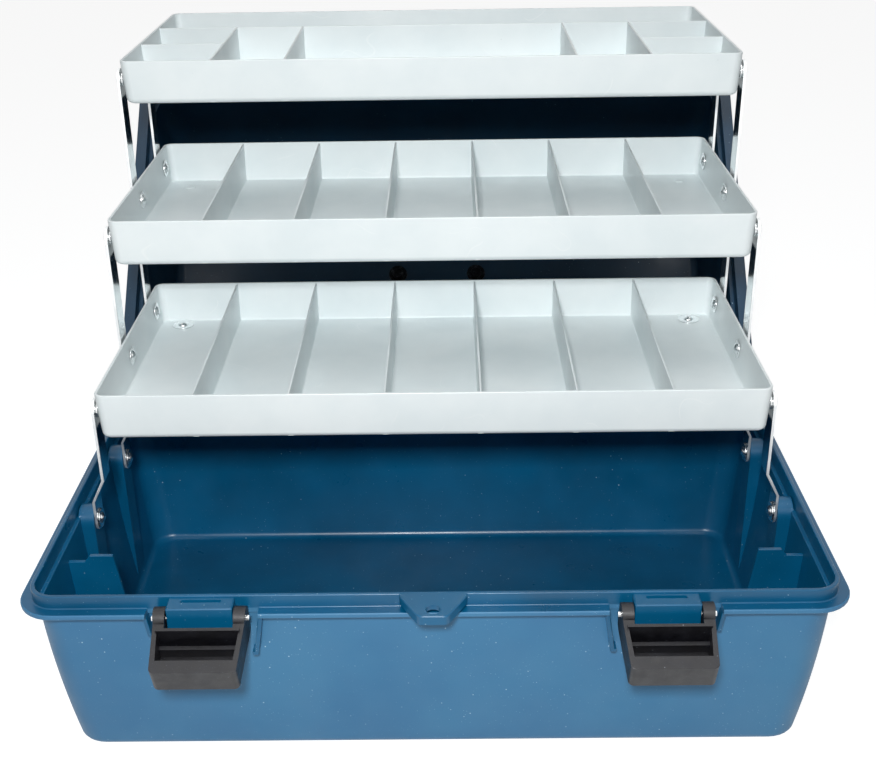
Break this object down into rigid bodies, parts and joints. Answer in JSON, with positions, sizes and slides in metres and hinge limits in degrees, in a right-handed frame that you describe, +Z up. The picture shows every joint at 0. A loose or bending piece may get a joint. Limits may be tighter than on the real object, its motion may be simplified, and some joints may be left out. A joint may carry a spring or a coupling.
{
  "type": "cantilever storage box",
  "caption": "Hinged storage box, open: blue tub and lid, pale divided trays that swing out on flat steel arms, black front latches and a padlock tab.",
  "frame": {"origin": "centre of the tub's underside, under the middle of its flange", "axes": "+X to the right seen from the front, +Y to the rear where the lid is hinged, +Z up"},
  "size_m": [0.466, 0.5378, 0.3524],
  "materials": {
    "tub_plastic": "moulded blue, fine grain",
    "lid_plastic": "moulded blue, fine grain",
    "tray_plastic": "moulded pale grey, satin",
    "latch_plastic": "moulded black, satin",
    "handle_plastic": "moulded black, satin",
    "zinc_steel": "bright zinc plate"
  },
  "bodies": {
    "base": {"base_tub": "tub_plastic", "base_pivot_rivets": "zinc_steel", "base_pivot_washers": "zinc_steel", "hinge_pins": "zinc_steel", "latch_pins": "zinc_steel"},
    "lid": {"lid_shell": "lid_plastic", "handle_brackets": "handle_plastic", "handle_screws": "zinc_steel", "handle_screw_washers": "zinc_steel"},
    "handle": {"handle_grip": "handle_plastic"},
    "latch_left": {"latch_left": "latch_plastic"},
    "latch_right": {"latch_right": "latch_plastic"},
    "front_arms": {"front_arm_left": "zinc_steel", "front_arm_right": "zinc_steel"},
    "lower_arms": {"lower_arm_left": "zinc_steel", "lower_arm_right": "zinc_steel"},
    "middle_arms": {"middle_arm_left": "zinc_steel", "middle_arm_right": "zinc_steel"},
    "upper_arms": {"upper_arm_left": "zinc_steel", "upper_arm_right": "zinc_steel"},
    "bottom_tray": {"bottom_tray": "tray_plastic", "bottom_tray_rivets": "zinc_steel", "bottom_tray_washers": "zinc_steel", "bottom_tray_spacers": "zinc_steel", "bottom_floor_rivets": "zinc_steel", "bottom_floor_washers": "zinc_steel"},
    "middle_tray": {"middle_tray": "tray_plastic", "middle_tray_rivets": "zinc_steel", "middle_tray_washers": "zinc_steel", "middle_tray_spacers": "zinc_steel"},
    "top_tray": {"top_tray": "tray_plastic", "top_tray_rivets": "zinc_steel", "top_tray_washers": "zinc_steel", "top_tray_spacers": "zinc_steel"}
  },
  "joints": [
    {"name": "lid_hinge", "type": "hinge", "parent": "base", "child": "lid", "pos_m": [0, 0.135, 0.10665], "axis": [1, 0, 0], "range_deg": [0, 68.45]},
    {"name": "front_arm_pivot", "type": "hinge", "parent": "base", "child": "front_arms", "pos_m": [0, -0.017, 0.1], "axis": [1, 0, 0], "range_deg": [0, 68.45]},
    {"name": "lower_arm_pivot", "type": "hinge", "parent": "base", "child": "lower_arms", "pos_m": [0, 0.059, 0.1], "axis": [1, 0, 0], "range_deg": [0, 68.45]},
    {"name": "bottom_tray_pivot", "type": "hinge", "parent": "lower_arms", "child": "bottom_tray", "pos_m": [0, 0.059, 0.176], "axis": [1, 0, 0], "range_deg": [-68.45, 0]},
    {"name": "middle_arm_pivot", "type": "hinge", "parent": "bottom_tray", "child": "middle_arms", "pos_m": [0, 0.135, 0.176], "axis": [1, 0, 0], "range_deg": [0, 68.45]},
    {"name": "middle_tray_pivot", "type": "hinge", "parent": "middle_arms", "child": "middle_tray", "pos_m": [0, 0.135, 0.25771], "axis": [1, 0, 0], "range_deg": [-68.45, 0]},
    {"name": "upper_arm_pivot", "type": "hinge", "parent": "middle_tray", "child": "upper_arms", "pos_m": [0, 0.211, 0.25771], "axis": [1, 0, 0], "range_deg": [0, 68.45]},
    {"name": "top_tray_pivot", "type": "hinge", "parent": "upper_arms", "child": "top_tray", "pos_m": [0, 0.211, 0.33941], "axis": [1, 0, 0], "range_deg": [-68.45, 0]},
    {"name": "handle_pivot", "type": "hinge", "parent": "lid", "child": "handle", "pos_m": [0, 0.30697, 0.13087], "axis": [1, 0, 0], "range_deg": [-47, 141]},
    {"name": "latch_left_pivot", "type": "hinge", "parent": "base", "child": "latch_left", "pos_m": [-0.126, -0.129, 0.1055], "axis": [-1, 0, 0], "range_deg": [0, 110]},
    {"name": "latch_right_pivot", "type": "hinge", "parent": "base", "child": "latch_right", "pos_m": [0.126, -0.129, 0.1055], "axis": [-1, 0, 0], "range_deg": [0, 110]}
  ],
  "couplings": [
    {"joint": "front_arm_pivot", "follows": "lid_hinge", "ratio": 1},
    {"joint": "lower_arm_pivot", "follows": "lid_hinge", "ratio": 1},
    {"joint": "bottom_tray_pivot", "follows": "lid_hinge", "ratio": -1},
    {"joint": "middle_arm_pivot", "follows": "lid_hinge", "ratio": 1},
    {"joint": "middle_tray_pivot", "follows": "lid_hinge", "ratio": -1},
    {"joint": "upper_arm_pivot", "follows": "lid_hinge", "ratio": 1},
    {"joint": "top_tray_pivot", "follows": "lid_hinge", "ratio": -1}
  ]
}
